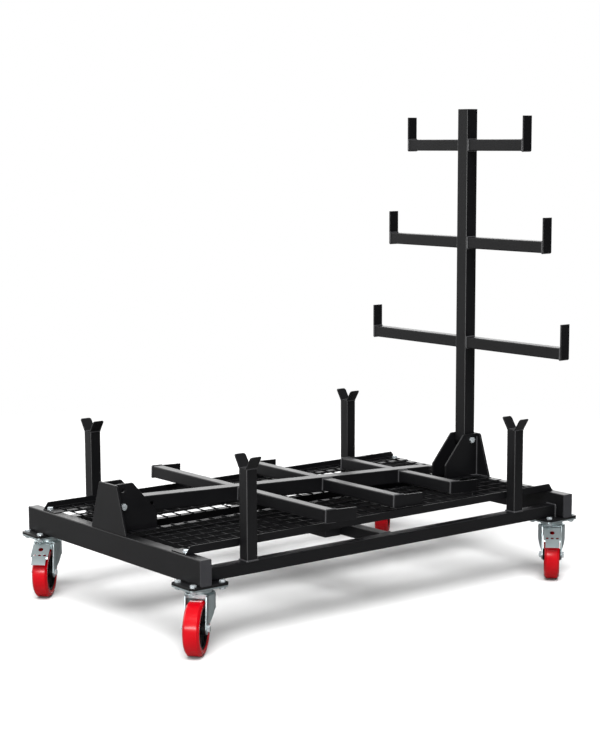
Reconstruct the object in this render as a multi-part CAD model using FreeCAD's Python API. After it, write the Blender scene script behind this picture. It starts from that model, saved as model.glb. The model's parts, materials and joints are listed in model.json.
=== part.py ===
import FreeCAD, Part
import math
import os

# Long material cart: a welded box-section frame on four swivel casters, a wire-mesh deck in two
# panels, four corner posts with V cradles, and two folding masts with three pairs of arms each.
# Millimetres. X runs along the cart (left is -X), Y across it (near is -Y), Z up from the floor.
# The origin is on the floor under the middle of the cart.

# Frame
frame_length = 1560.0       # over the outer faces of the end rails
frame_width = 1000.0        # length of an end rail
end_rail_height = 80.0
end_rail_depth = 40.0
side_rail_size = 40.0
side_rail_inset = 40.0      # from the end of an end rail to the side rail's outer face
spine_height = 60.0
spine_margin = 2.0          # spine past the inner deck edges that stand on it
tube_wall = 3.0
tube_corner = 4.0           # outer rounding of every box section
cap_thickness = 4.0

# Deck
deck_slot_gap = 8.0         # between a bracket's cheek and a panel's inner edge
deck_side_gap = 5.0         # between a panel's outer edge and the side rail's inner face, seen from above
edge_thickness = 3.0
edge_foot = 75.0            # width of the outer edge's foot
edge_upstand = 25.0         # height of the outer edge
edge_setback = 7.0          # from the end rail's outer face to the end of the foot
edge_bevel = 18.0           # length of the bevel at the upstand's ends
inner_foot = 25.0           # width of the inner edge's flat
wire_diameter = 4.0
mesh_pitch = 50.0
wire_overhang = 12.0        # long wire past the last cross wire
wire_edge_margin = 18.0     # from a panel's outer edge to the first long wire
deck_bolt_inset_x = 23.0    # from the end rail's outer face
deck_bolt_inset_y = 20.0    # from the panel's outer edge
support_length = 66.0
support_width = 100.0
support_centre = 171.0      # from the centre line to the middle of a deck support

# Corner posts and their cradles
post_size = 40.0
post_height = 280.0
post_spacing = 1122.0       # between the posts' centre lines, along the cart
cradle_height = 39.0
cradle_thickness = 6.0
cradle_corner = 7.0
cradle_lean = 33.0          # degrees from the vertical

# Hinge brackets
plate_thickness = 8.0
bracket_height = 153.0
bracket_base = 200.0        # width of the end plate at the rail
bracket_top = 100.0         # width of the end plate at its top
bracket_reach = 160.0       # from the end rail's outer face to the cheeks' inner end
bracket_top_reach = 71.0    # the same, along the cheeks' top edge
bracket_nose = 50.0         # height of the cheeks at their inner end
bracket_corner = 10.0
left_pivot_height = 80.0    # above the end rail
right_pivot_height = 130.0
lock_hole_radius = 6.5
lock_hole_up = 52.0         # pivot to the hole that locks the raised mast
lock_hole_folded = 114.0    # pivot to the hole that locks the folded mast

# Masts
mast_width = 50.0
mast_depth = 50.0
mast_end_gap = 1.0          # between an upright mast and the end plate
mast_cheek_gap = 4.0        # between a mast and each cheek
arm_size = 40.0
stop_length = 120.0
stop_thickness = 6.0
arm_spans = (974.0, 794.0, 592.0)       # over the stops: lower, middle, upper
arm_steps = (357.0, 344.0)              # lower to middle, middle to upper
first_arm = 355.0                       # right pivot to the lower arms
mast_overrun = 126.0                    # upper arms to the top of the mast
left_mast_extra = 116.0                 # the left mast is longer by this, below its lower arms
fold_gap = 0.3                          # between the folded mast's stops and the wires
sleeve_wall = 3.0
sleeve_gap = 0.3                        # between a mast's pivot sleeve and each cheek

# Casters
caster_inset_x = 38.0       # from the end rail's outer face to the swivel axis
caster_inset_y = 58.0       # from the end of the end rail to the swivel axis
caster_headings = {         # degrees, the way each wheel trails at rest
    "left_near": 222.0,
    "left_far": 226.5,
    "right_near": 225.0,
    "right_far": 225.0,
}
caster_trail = 55.0
mount_thickness = 8.0
caster_plate_length = 140.0
caster_plate_width = 110.0
caster_plate_thickness = 5.0
caster_plate_corner = 12.0
caster_bolt_pitch_x = 105.0
caster_bolt_pitch_y = 80.0
race_cup_height = 6.0
race_cup_radius = 38.0
race_gap = 0.4
race_dish_height = 8.6
race_dish_radius = 37.0
kingpin_radius = 8.0
kingpin_head_radius = 13.0
kingpin_head_height = 6.0
fork_sheet = 4.0
fork_overhang = 12.0        # the round front stands out past each leg by this
fork_neck = 60.0            # degrees round from the trail, where the front runs into a neck
fork_bend = 8.0             # rounding between a neck and its leg
fork_hood = 50.0            # depth of the round front below the crown's top
fork_hood_back = 5.0        # swivel axis to the end of the hood's level lower edge
fork_crown_back = 60.0      # swivel axis to the ears' trailing edge
fork_notch = 40.0           # swivel axis to the notch between the ears
fork_lip = 8.0              # depth of the lip turned down at the notch, where there is no pedal
fork_corner = 5.0
fork_boss_radius = 18.0     # rounding of the legs about the axle
wheel_diameter = 165.0
wheel_top_gap = 11.0        # between the tyre and the crown
tread_width = 50.0
shoulder_width = 6.5
shoulder_drop = 8.0
tyre_depth = 20.0           # tread to the wheel centre's rim
rim_depth = 8.0
rim_inset = 3.0             # from the tyre's side to the rim's side
web_thickness = 22.0
boss_radius = 20.0
hub_overhang = 4.5          # hub past the tyre's side
hub_play = 0.5              # between the hub and each fork leg
pedal_travel = 10.0         # degrees
pedal_slope = 45.0          # degrees, of the pressed pedal's plate
pedal_pivot_back = 44.0     # behind the swivel axis
pedal_pivot_drop = 16.0     # below the crown
pedal_ear = 7.0             # half the size of a flange round its pin
pedal_pin_radius = 3.5
pedal_pin_setback = 0.5     # from the fork's side to the pin's end
pedal_sheet = 3.0
pedal_side_gap = 1.5        # between the tyre and each pedal flange
pedal_flange = 2.5
pedal_tread_gap = 1.2       # between the tyre and the pressed pedal
pedal_reach = 140.0         # swivel axis to the pressed pedal's tip
pedal_flange_depth = 14.0
pedal_clear_notch = 6.0     # between the crown's notch and the pedal's root
pedal_hole_radius = 8.0
pedal_hole_down = 23.0      # down the slope, from the pedal's bend to its hole
pedal_slot_down = 48.0      # the same, to its row of slots
pedal_slot_length = 9.0
pedal_slot_width = 7.5
pedal_slot_pitch = 17.0
pedal_lip_down = 58.0       # the same, to the lip at its end
pedal_lip_width = 46.0
pedal_lip_turn = 15.0       # degrees, how much steeper the lip is

# Fasteners: shank radius, width across flats, head height and, where there is one, nut height
deck_bolt = (5.0, 17.0, 6.4)
caster_bolt = (5.0, 17.0, 6.4, 8.0)
pivot_bolt = (6.0, 19.0, 7.5, 10.0)
axle_bolt = (6.0, 19.0, 7.5, 8.0)
washer_radius = 10.0
washer_thickness = 2.0
bolt_tail = 2.0             # shank past its nut or its wall
hole_clearance = 0.25       # radial, round a bolt in a drilled hole
running_clearance = 0.05    # radial, round a pin that something turns on

# Making
overcut = 1.0               # how far a cut runs past the face that it starts from
same_level = 0.1            # heights closer than this are one level

# Levels and faces that follow from the sizes above
crown_under = wheel_diameter + wheel_top_gap
crown_top = crown_under + fork_sheet
pedal_pivot_z = crown_under - pedal_pivot_drop
dish_top = crown_top + race_dish_height
cup_under = dish_top + race_gap
caster_plate_under = cup_under + race_cup_height
mount_under = caster_plate_under + caster_plate_thickness
rail_bottom = mount_under + mount_thickness
rail_top = rail_bottom + end_rail_height
side_rail_top = rail_bottom + side_rail_size
spine_top = rail_bottom + spine_height
wire_bottom = rail_top + edge_thickness
wire_top = wire_bottom + 2 * wire_diameter
end_outer = frame_length / 2
end_inner = end_outer - end_rail_depth
side_outer = frame_width / 2 - side_rail_inset
side_inner = side_outer - side_rail_size
deck_outer_edge = side_inner - deck_side_gap
pivot_inset = plate_thickness + mast_end_gap + mast_depth / 2
pivot_x = end_outer - pivot_inset
cheek_inner = mast_width / 2 + mast_cheek_gap
cheek_outer = cheek_inner + plate_thickness
deck_inner_edge = cheek_outer + deck_slot_gap
spine_side = deck_inner_edge + edge_thickness + spine_margin
caster_x = end_outer - caster_inset_x
caster_y = frame_width / 2 - caster_inset_y
wheel_radius = wheel_diameter / 2
hub_length = tread_width + 2 * hub_overhang
fork_inner = hub_length / 2 + hub_play
fork_outer = fork_inner + fork_sheet
fork_front = fork_outer + fork_overhang
fork_back = caster_trail + fork_boss_radius

ends = (("left", -1), ("right", 1))
sides = (("near", -1), ("far", 1))
braked_casters = ("left_far", "right_near")

X_AXIS = FreeCAD.Vector(1, 0, 0)
Y_AXIS = FreeCAD.Vector(0, 1, 0)
Z_AXIS = FreeCAD.Vector(0, 0, 1)
ORIGIN = FreeCAD.Vector(0, 0, 0)


# Building blocks

def block(x0, x1, y0, y1, z0, z1):
    low = FreeCAD.Vector(min(x0, x1), min(y0, y1), min(z0, z1))
    return Part.makeBox(abs(x1 - x0), abs(y1 - y0), abs(z1 - z0), low)


def bar(axis, x0, x1, y0, y1, z0, z1):
    """Solid bar along the named axis, with the outer corners of a box section."""
    along = {"x": X_AXIS, "y": Y_AXIS, "z": Z_AXIS}[axis]
    return rounded(block(x0, x1, y0, y1, z0, z1), tube_corner, along, lambda middle: True)


def tube(axis, x0, x1, y0, y1, z0, z1):
    """Open box section along the named axis."""
    inset = [0.0 if name == axis else tube_wall for name in "xyz"]
    spans = [sorted(pair) for pair in ((x0, x1), (y0, y1), (z0, z1))]
    bore = [end for (low, high), wall in zip(spans, inset) for end in (low + wall, high - wall)]
    return bar(axis, x0, x1, y0, y1, z0, z1).cut(block(*bore))


def rod(radius, start, end):
    start = FreeCAD.Vector(*start)
    along = FreeCAD.Vector(*end) - start
    return Part.makeCylinder(radius, along.Length, start, along)


def sheet_xz(points, y0, y1):
    """Flat plate with its outline in the XZ plane."""
    corners = [FreeCAD.Vector(x, min(y0, y1), z) for x, z in points]
    return Part.Face(Part.makePolygon(corners + corners[:1])).extrude(Y_AXIS * abs(y1 - y0))


def sheet_yz(points, x0, x1):
    """Flat plate with its outline in the YZ plane."""
    corners = [FreeCAD.Vector(min(x0, x1), y, z) for y, z in points]
    return Part.Face(Part.makePolygon(corners + corners[:1])).extrude(X_AXIS * abs(x1 - x0))


def turned(points):
    """Solid of revolution about the Y axis, from (radius, y) points."""
    corners = [FreeCAD.Vector(radius, y, 0) for radius, y in points]
    return Part.Face(Part.makePolygon(corners + corners[:1])).revolve(ORIGIN, Y_AXIS, 360)


def hexagon(across_flats, height, base, along):
    """Hexagonal head or nut standing on base."""
    radius = across_flats / math.sqrt(3)
    turns = [math.radians(60 * k) for k in range(7)]
    corners = [FreeCAD.Vector(radius * math.cos(turn), radius * math.sin(turn), 0) for turn in turns]
    prism = Part.Face(Part.makePolygon(corners)).extrude(Z_AXIS * height)
    prism.Placement = FreeCAD.Placement(FreeCAD.Vector(*base), FreeCAD.Rotation(Z_AXIS, along))
    return prism


def rounded(shape, radius, along, keep):
    """Round the straight edges along a direction whose middle passes the keep test."""
    edges = [edge for edge in shape.Edges
             if len(edge.Vertexes) == 2
             and edge.tangentAt(edge.FirstParameter).cross(along).Length < 1e-6
             and keep(edge.CenterOfMass)]
    return shape.makeFillet(radius, edges)


def centred(span, pitch):
    """Places at a pitch, centred on zero, that fit in a span."""
    count = int(span // pitch) + 1
    return [(k - (count - 1) / 2) * pitch for k in range(count)]


def save(name, *solids):
    shape = solids[0] if len(solids) == 1 else Part.makeCompound(list(solids))
    shape.exportStep("parts/" + name + ".step")


# Frame

def deck_bolt_places(sx):
    x = sx * (end_outer - deck_bolt_inset_x)
    return [(x, sy * (deck_outer_edge - deck_bolt_inset_y)) for _, sy in sides]


def build_end_rails():
    tube_end = frame_width / 2 - cap_thickness
    caps = []
    for end, sx in ends:
        rail = tube("y", sx * end_inner, sx * end_outer, -tube_end, tube_end, rail_bottom, rail_top)
        for x, y in deck_bolt_places(sx):
            rail = rail.cut(rod(deck_bolt[0] + hole_clearance, (x, y, rail_top - tube_wall - overcut),
                                (x, y, rail_top + overcut)))
        save("end_rail_" + end, rail)
        for _, sy in sides:
            caps.append(bar("y", sx * end_inner, sx * end_outer, sy * tube_end, sy * frame_width / 2,
                            rail_bottom, rail_top))
    save("rail_end_caps", *caps)


def build_inner_frame():
    for side, sy in sides:
        save("side_rail_" + side, tube("x", -end_inner, end_inner, sy * side_inner, sy * side_outer,
                                       rail_bottom, side_rail_top))
    half = side_rail_size / 2
    save("centre_spine", tube("x", -end_inner, end_inner, -spine_side, spine_side, rail_bottom, spine_top))
    save("cross_beams", *[tube("y", -half, half, sy * spine_side, sy * side_inner, rail_bottom, side_rail_top)
                          for _, sy in sides])
    supports = []
    for _, sy in sides:
        inside = sy * (support_centre - support_width / 2)
        outside = sy * (support_centre + support_width / 2)
        supports.append(tube("z", -half - support_length, -half, inside, outside, rail_bottom, wire_bottom))
    save("deck_supports", *supports)


def build_deck_edges():
    foot_end = end_outer - edge_setback
    top_end = foot_end - edge_bevel
    inner_edges = []
    for side, sy in sides:
        upstand = sheet_xz([(-foot_end, rail_top), (foot_end, rail_top),
                            (top_end, rail_top + edge_upstand), (-top_end, rail_top + edge_upstand)],
                           sy * (deck_outer_edge - edge_thickness), sy * deck_outer_edge)
        foot = block(-foot_end, foot_end, sy * (deck_outer_edge - edge_foot), sy * deck_outer_edge,
                     rail_top, wire_bottom)
        edge = upstand.fuse(foot).removeSplitter()
        for _, sx in ends:
            for x, y in deck_bolt_places(sx):
                edge = edge.cut(rod(deck_bolt[0] + hole_clearance, (x, y, rail_top - overcut),
                                    (x, y, wire_bottom + overcut)))
        save("deck_edge_" + side, edge)
        upright = block(-end_inner, end_inner, sy * deck_inner_edge, sy * (deck_inner_edge + edge_thickness),
                        spine_top, wire_bottom)
        flat = block(-end_inner, end_inner, sy * deck_inner_edge, sy * (deck_inner_edge + inner_foot),
                     rail_top, wire_bottom)
        inner_edges.append(upright.fuse(flat).removeSplitter())
    save("deck_inner_edges", *inner_edges)


def build_deck_mesh():
    radius = wire_diameter / 2
    low = wire_bottom + radius
    high = low + wire_diameter
    cross_places = centred(2 * (end_inner - wire_overhang), mesh_pitch)
    long_end = cross_places[-1] + wire_overhang
    first_long = deck_outer_edge - wire_edge_margin
    long_count = int((first_long - wire_edge_margin - deck_inner_edge) // mesh_pitch) + 1
    long_places = [first_long - k * mesh_pitch for k in range(long_count)]
    wire_reach = deck_outer_edge - edge_thickness - radius
    for side, sy in sides:
        cross_wires = [rod(radius, (x, sy * deck_inner_edge, low), (x, sy * wire_reach, low))
                       for x in cross_places]
        long_wires = [rod(radius, (-long_end, sy * y, high), (long_end, sy * y, high)) for y in long_places]
        save("deck_mesh_" + side, *cross_wires, *long_wires)


def build_deck_bolts():
    shank, flats, head = deck_bolt
    head_under = wire_bottom + washer_thickness
    bolts = []
    for _, sx in ends:
        for x, y in deck_bolt_places(sx):
            stem = rod(shank, (x, y, rail_top - tube_wall - bolt_tail), (x, y, head_under))
            washer = rod(washer_radius, (x, y, wire_bottom), (x, y, head_under))
            bolts.append(stem.fuse(washer).fuse(hexagon(flats, head, (x, y, head_under), Z_AXIS)))
    save("deck_bolts", *bolts)


# Corner posts

def build_posts():
    half = post_size / 2
    inside = half - tube_wall
    top = side_rail_top + post_height
    across = (side_inner + side_outer) / 2
    rise = math.tan(math.radians(cradle_lean))
    foot = half - cradle_thickness / math.cos(math.radians(cradle_lean))
    plates = []
    for end, sx in ends:
        for side, sy in sides:
            x = sx * post_spacing / 2
            y = sy * across
            body = bar("z", x - half, x + half, y - half, y + half, side_rail_top, top)
            bore = block(x - inside, x + inside, y - inside, y + inside, side_rail_top, top - tube_wall)
            save("post_" + end + "_" + side, body.cut(bore))
            for lean in (-1, 1):
                plate = sheet_yz([(y + lean * foot, top), (y + lean * half, top),
                                  (y + lean * (half + rise * cradle_height), top + cradle_height),
                                  (y + lean * (foot + rise * cradle_height), top + cradle_height)],
                                 x - half, x + half)
                plates.append(rounded(plate, cradle_corner, Y_AXIS,
                                      lambda middle: middle.z > top + cradle_height - same_level))
    save("post_cradles", *plates)


# Hinge brackets

def fold_angle():
    """Slope of the folded left mast, in radians, where its upper stops lie on the wires."""
    contact = first_arm + left_mast_extra + sum(arm_steps) + stop_length - arm_size / 2
    drop = rail_top + left_pivot_height - wire_top - fold_gap
    return math.asin(drop / math.hypot(contact, arm_size / 2)) - math.atan2(arm_size / 2, contact)


def cheek(sx, y0, y1, holes):
    outline = [(plate_thickness, 0), (bracket_reach, 0), (bracket_reach, bracket_nose),
               (bracket_top_reach, bracket_height), (plate_thickness, bracket_height)]
    plate = sheet_xz([(sx * (end_outer - inward), rail_top + up) for inward, up in outline], y0, y1)
    plate = rounded(plate, bracket_corner, Y_AXIS,
                    lambda middle: middle.z > rail_top + same_level
                    and abs(middle.x) < end_outer - plate_thickness - same_level)
    for radius, x, z in holes:
        plate = plate.cut(rod(radius, (x, min(y0, y1) - overcut, z), (x, max(y0, y1) + overcut, z)))
    return plate


def build_brackets():
    slope = fold_angle()
    drilled = pivot_bolt[0] + hole_clearance
    left_z = rail_top + left_pivot_height
    plate_top = rail_top + bracket_height
    holes = {
        "left": [(drilled, -pivot_x, left_z),
                 (lock_hole_radius, -pivot_x, left_z + lock_hole_up),
                 (lock_hole_radius, -pivot_x + lock_hole_folded * math.cos(slope),
                  left_z - lock_hole_folded * math.sin(slope))],
        "right": [(drilled, pivot_x, rail_top + right_pivot_height)],
    }
    for end, sx in ends:
        plate = sheet_yz([(-bracket_base / 2, rail_top), (bracket_base / 2, rail_top),
                          (bracket_top / 2, plate_top), (-bracket_top / 2, plate_top)],
                         sx * (end_outer - plate_thickness), sx * end_outer)
        save("bracket_end_plate_" + end,
             rounded(plate, bracket_corner, X_AXIS, lambda middle: middle.z > rail_top + same_level))
        save("bracket_cheeks_" + end, *[cheek(sx, sy * cheek_inner, sy * cheek_outer, holes[end])
                                        for _, sy in sides])


def build_pivots():
    shank, flats, head, nut = pivot_bolt
    heights = {"left": left_pivot_height, "right": right_pivot_height}
    bolts = []
    nuts = []
    for end, sx in ends:
        x = sx * pivot_x
        z = rail_top + heights[end]
        stem = rod(shank, (x, -cheek_outer, z), (x, cheek_outer + nut + bolt_tail, z))
        bolts.append(stem.fuse(hexagon(flats, head, (x, -cheek_outer, z), -Y_AXIS)))
        blank = hexagon(flats, nut, (x, cheek_outer, z), Y_AXIS)
        nuts.append(blank.cut(rod(shank, (x, cheek_outer - overcut, z), (x, cheek_outer + nut + overcut, z))))
    save("pivot_bolts", *bolts)
    save("pivot_nuts", *nuts)


# Masts, made upright with the pivot at the origin

def mast_tube(length, lock_holes):
    half_depth = mast_depth / 2
    half_width = mast_width / 2
    sleeve_end = cheek_inner - sleeve_gap
    wall_depth = half_depth - tube_wall
    wall_width = half_width - tube_wall
    body = block(-half_depth, half_depth, -half_width, half_width, 0, length)
    body = body.fuse(rod(half_depth, (0, -half_width, 0), (0, half_width, 0))).removeSplitter()
    body = rounded(body, tube_corner, Z_AXIS, lambda middle: abs(middle.x) > half_depth - same_level)
    bore = block(-wall_depth, wall_depth, -wall_width, wall_width, 0, length)
    bore = bore.fuse(rod(wall_depth, (0, -wall_width, 0), (0, wall_width, 0)))
    sleeve = rod(pivot_bolt[0] + sleeve_wall, (0, -sleeve_end, 0), (0, sleeve_end, 0))
    body = body.cut(bore).fuse(sleeve).removeSplitter()
    body = body.cut(rod(pivot_bolt[0] + running_clearance, (0, -cheek_outer, 0), (0, cheek_outer, 0)))
    for up in lock_holes:
        body = body.cut(rod(lock_hole_radius, (0, -cheek_outer, up), (0, cheek_outer, up)))
    return body


def build_mast(end, placement, lower_arms, lock_holes):
    levels = [lower_arms, lower_arms + arm_steps[0], lower_arms + arm_steps[0] + arm_steps[1]]
    top = levels[-1] + mast_overrun
    half = arm_size / 2
    half_width = mast_width / 2

    def placed(*solids):
        for solid in solids:
            solid.Placement = placement.multiply(solid.Placement)
        return solids

    save(end + "_mast", *placed(mast_tube(top - cap_thickness, lock_holes)))
    save(end + "_mast_cap", *placed(bar("z", -mast_depth / 2, mast_depth / 2, -half_width, half_width,
                                        top - cap_thickness, top)))
    stops = []
    for name, level, span in zip(("lower", "middle", "upper"), levels, arm_spans):
        arm_end = span / 2 - stop_thickness
        arms = []
        for _, sy in sides:
            arms.append(tube("y", -half, half, sy * half_width, sy * arm_end, level - half, level + half))
            stops.append(block(-half, half, sy * arm_end, sy * span / 2,
                               level - half, level - half + stop_length))
        save(end + "_arms_" + name, *placed(*arms))
    save(end + "_arm_stops", *placed(*stops))


def build_masts():
    folded = FreeCAD.Placement(FreeCAD.Vector(-pivot_x, 0, rail_top + left_pivot_height),
                               FreeCAD.Rotation(Y_AXIS, 90 + math.degrees(fold_angle())))
    upright = FreeCAD.Placement(FreeCAD.Vector(pivot_x, 0, rail_top + right_pivot_height), FreeCAD.Rotation())
    build_mast("left", folded, first_arm + left_mast_extra, (lock_hole_up, lock_hole_folded))
    build_mast("right", upright, first_arm, ())


# Casters, made with the swivel axis on Z and the wheel trailing along +X

def caster_bolt_places():
    return [(sx * caster_bolt_pitch_x / 2, sy * caster_bolt_pitch_y / 2) for _, sx in ends for _, sy in sides]


def caster_plate(z0, z1):
    half_length = caster_plate_length / 2
    half_width = caster_plate_width / 2
    plate = block(-half_length, half_length, -half_width, half_width, z0, z1)
    plate = rounded(plate, caster_plate_corner, Z_AXIS, lambda middle: True)
    for x, y in caster_bolt_places():
        plate = plate.cut(rod(caster_bolt[0] + hole_clearance, (x, y, z0 - overcut), (x, y, z1 + overcut)))
    return plate


def caster_top_plate():
    plate = caster_plate(caster_plate_under, mount_under)
    cup = rod(race_cup_radius, (0, 0, cup_under), (0, 0, caster_plate_under))
    pin_hole = rod(kingpin_radius + hole_clearance, (0, 0, cup_under - overcut),
                   (0, 0, mount_under + overcut))
    return plate.fuse(cup).removeSplitter().cut(pin_hole)


def kingpin():
    head_top = crown_under - race_gap
    stem = rod(kingpin_radius, (0, 0, head_top), (0, 0, mount_under))
    head = rod(kingpin_head_radius, (0, 0, head_top - kingpin_head_height), (0, 0, head_top))
    return stem.fuse(head).removeSplitter()


def caster_fastener(x, y):
    shank, flats, head, nut = caster_bolt
    nut_under = caster_plate_under - nut
    stem = rod(shank, (x, y, nut_under - bolt_tail), (x, y, rail_bottom))
    bolt = stem.fuse(hexagon(flats, head, (x, y, rail_bottom), Z_AXIS))
    blank = hexagon(flats, nut, (x, y, nut_under), Z_AXIS)
    return bolt, blank.cut(rod(shank, (x, y, nut_under - overcut), (x, y, caster_plate_under + overcut)))


def fork_prism(radius, half, back, bend, z0, z1):
    """Upright prism: a round front about the swivel axis that necks in to parallel sides."""
    neck_angle = math.radians(fork_neck)
    x = radius * math.cos(neck_angle)
    y = radius * math.sin(neck_angle)
    neck = x + (y - half) * math.tan(neck_angle)
    front = Part.Arc(FreeCAD.Vector(x, y, z0), FreeCAD.Vector(-radius, 0, z0), FreeCAD.Vector(x, -y, z0))
    outline = [(x, -y), (neck, -half), (back, -half), (back, half), (neck, half), (x, y)]
    legs = Part.makePolygon([FreeCAD.Vector(along, across, z0) for along, across in outline])
    prism = Part.Face(Part.Wire([front.toShape()] + legs.Edges)).extrude(FreeCAD.Vector(0, 0, z1 - z0))
    return rounded(prism, bend, Z_AXIS,
                   lambda middle: abs(middle.x - neck) < same_level and abs(middle.y) < half + same_level)


def fork(braked):
    """Pressed fork: a hooded crown and two legs, with the lower swivel race on top."""
    foot = wheel_radius - fork_boss_radius
    body = fork_prism(fork_front, fork_outer, fork_back, fork_bend, foot, crown_top)
    body = body.makeFillet(fork_corner, [edge for edge in body.Edges
                                         if edge.BoundBox.ZMin > crown_top - same_level
                                         and edge.BoundBox.XMin < fork_back - same_level])
    body = body.cut(fork_prism(fork_front - fork_sheet, fork_inner, fork_back + overcut,
                               fork_bend + fork_sheet, foot - overcut, crown_under))
    hood_under = crown_top - fork_hood
    hood_front = -fork_front - overcut
    profile = sheet_xz([(hood_front, crown_top), (fork_crown_back, crown_top), (fork_back, wheel_radius),
                        (caster_trail - fork_boss_radius, wheel_radius), (fork_hood_back, hood_under),
                        (hood_front, hood_under)], -fork_front, fork_front)
    boss = rod(fork_boss_radius, (caster_trail, -fork_front, wheel_radius),
               (caster_trail, fork_front, wheel_radius))
    body = body.common(profile.fuse(boss))
    body = body.cut(block(fork_notch, fork_back, -fork_inner, fork_inner,
                          crown_under - overcut, crown_top + overcut))
    if not braked:
        lip_side = fork_inner + fork_sheet / 2
        body = body.fuse(block(fork_notch - fork_sheet, fork_notch, -lip_side, lip_side,
                               crown_under - fork_lip, crown_under))
    body = body.fuse(rod(race_dish_radius, (0, 0, crown_top), (0, 0, dish_top))).removeSplitter()
    body = body.cut(rod(kingpin_radius + running_clearance, (0, 0, crown_under - overcut),
                        (0, 0, dish_top + overcut)))
    body = body.cut(rod(axle_bolt[0] + hole_clearance, (caster_trail, -fork_front, wheel_radius),
                        (caster_trail, fork_front, wheel_radius)))
    if braked:
        x, z = pedal_pivot_back, pedal_pivot_z
        body = body.cut(rod(pedal_pin_radius + running_clearance, (x, -fork_front, z), (x, fork_front, z)))
    return body


def axle():
    shank, flats, head, nut = axle_bolt
    x, z = caster_trail, wheel_radius
    stem = rod(shank, (x, fork_outer, z), (x, -fork_outer - nut - bolt_tail, z))
    bolt = stem.fuse(hexagon(flats, head, (x, fork_outer, z), Y_AXIS))
    blank = hexagon(flats, nut, (x, -fork_outer, z), -Y_AXIS)
    return bolt, blank.cut(rod(shank, (x, -fork_outer + overcut, z), (x, -fork_outer - nut - overcut, z)))


def wheel():
    """Tyre and wheel centre, turned about the axle."""
    rim = wheel_radius - tyre_depth
    side = tread_width / 2
    flat = side - shoulder_width
    shoulder = wheel_radius - shoulder_drop
    tyre = turned([(rim, -side), (shoulder, -side), (wheel_radius, -flat), (wheel_radius, flat),
                   (shoulder, side), (rim, side)])
    bore = axle_bolt[0] + running_clearance
    web = web_thickness / 2
    boss = hub_length / 2
    rim_side = side - rim_inset
    half = [(bore, boss), (boss_radius, boss), (boss_radius, web), (rim - rim_depth, web),
            (rim - rim_depth, rim_side), (rim, rim_side)]
    centre = turned(half + [(radius, -y) for radius, y in reversed(half)])
    to_axle = FreeCAD.Vector(caster_trail, 0, wheel_radius)
    return tyre.translated(to_axle), centre.translated(to_axle)


def pedal():
    """Brake pedal: a stamped channel over the tyre, made pressed and then lifted to rest."""
    pivot_s, pivot_z = pedal_pivot_back, pedal_pivot_z
    inner = tread_width / 2 + pedal_side_gap
    outer = inner + pedal_flange
    top = crown_under - pedal_tread_gap
    under = top - pedal_sheet
    down = math.sin(math.radians(pedal_slope))
    back = math.cos(math.radians(pedal_slope))
    inner_reach = wheel_radius + pedal_tread_gap
    outer_reach = inner_reach + pedal_sheet

    def slope_x(reach, z):
        """Where a plate at this distance from the axle is at height z."""
        return caster_trail + (reach - (z - wheel_radius) * back) / down

    knee = slope_x(outer_reach, top)
    start = fork_notch + pedal_clear_notch
    lip_x = knee + pedal_lip_down * back
    lip_z = top - pedal_lip_down * down
    lip = math.radians(pedal_slope + pedal_lip_turn)
    half_turn = math.radians(pedal_lip_turn / 2)
    inset = pedal_sheet / math.cos(half_turn)
    tip = lip_z - (pedal_reach - lip_x) * math.tan(lip)
    body = sheet_xz([(start, top), (knee, top), (lip_x, lip_z), (pedal_reach, tip),
                     (pedal_reach - pedal_sheet * math.sin(lip), tip - pedal_sheet * math.cos(lip)),
                     (lip_x - inset * math.sin(lip - half_turn), lip_z - inset * math.cos(lip - half_turn)),
                     (slope_x(inner_reach, under), under), (start, under)], -outer, outer)
    flange_tip = slope_x(outer_reach, top - pedal_flange_depth)
    flange = [(pivot_s - pedal_ear, pivot_z - pedal_ear), (pivot_s + pedal_ear, pivot_z - pedal_ear),
              (knee, top - pedal_flange_depth), (flange_tip, top - pedal_flange_depth),
              (knee, top), (start, top), (pivot_s - pedal_ear, pivot_z + pedal_ear)]
    for _, sy in sides:
        body = body.fuse(sheet_xz(flange, sy * inner, sy * outer))
        body = body.fuse(rod(pedal_pin_radius, (pivot_s, sy * inner, pivot_z),
                             (pivot_s, sy * (fork_outer - pedal_pin_setback), pivot_z)))
        body = body.cut(block(lip_x, pedal_reach + overcut, sy * pedal_lip_width / 2, sy * (outer + overcut),
                              0, top))

    def punch(distance, y):
        spot = FreeCAD.Vector(knee + distance * back, y, top - distance * down)
        return FreeCAD.Placement(spot, FreeCAD.Rotation(Y_AXIS, pedal_slope))

    hole = rod(pedal_hole_radius, (0, 0, -2 * pedal_sheet), (0, 0, pedal_sheet))
    hole.Placement = punch(pedal_hole_down, 0)
    body = body.cut(hole)
    for y in (-pedal_slot_pitch, 0, pedal_slot_pitch):
        slot = block(-pedal_slot_width / 2, pedal_slot_width / 2,
                     -pedal_slot_length / 2, pedal_slot_length / 2, -2 * pedal_sheet, pedal_sheet)
        slot.Placement = punch(pedal_slot_down, y).multiply(slot.Placement)
        body = body.cut(slot)
    return body.removeSplitter().rotated(FreeCAD.Vector(pivot_s, 0, pivot_z), -Y_AXIS, pedal_travel)


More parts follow.
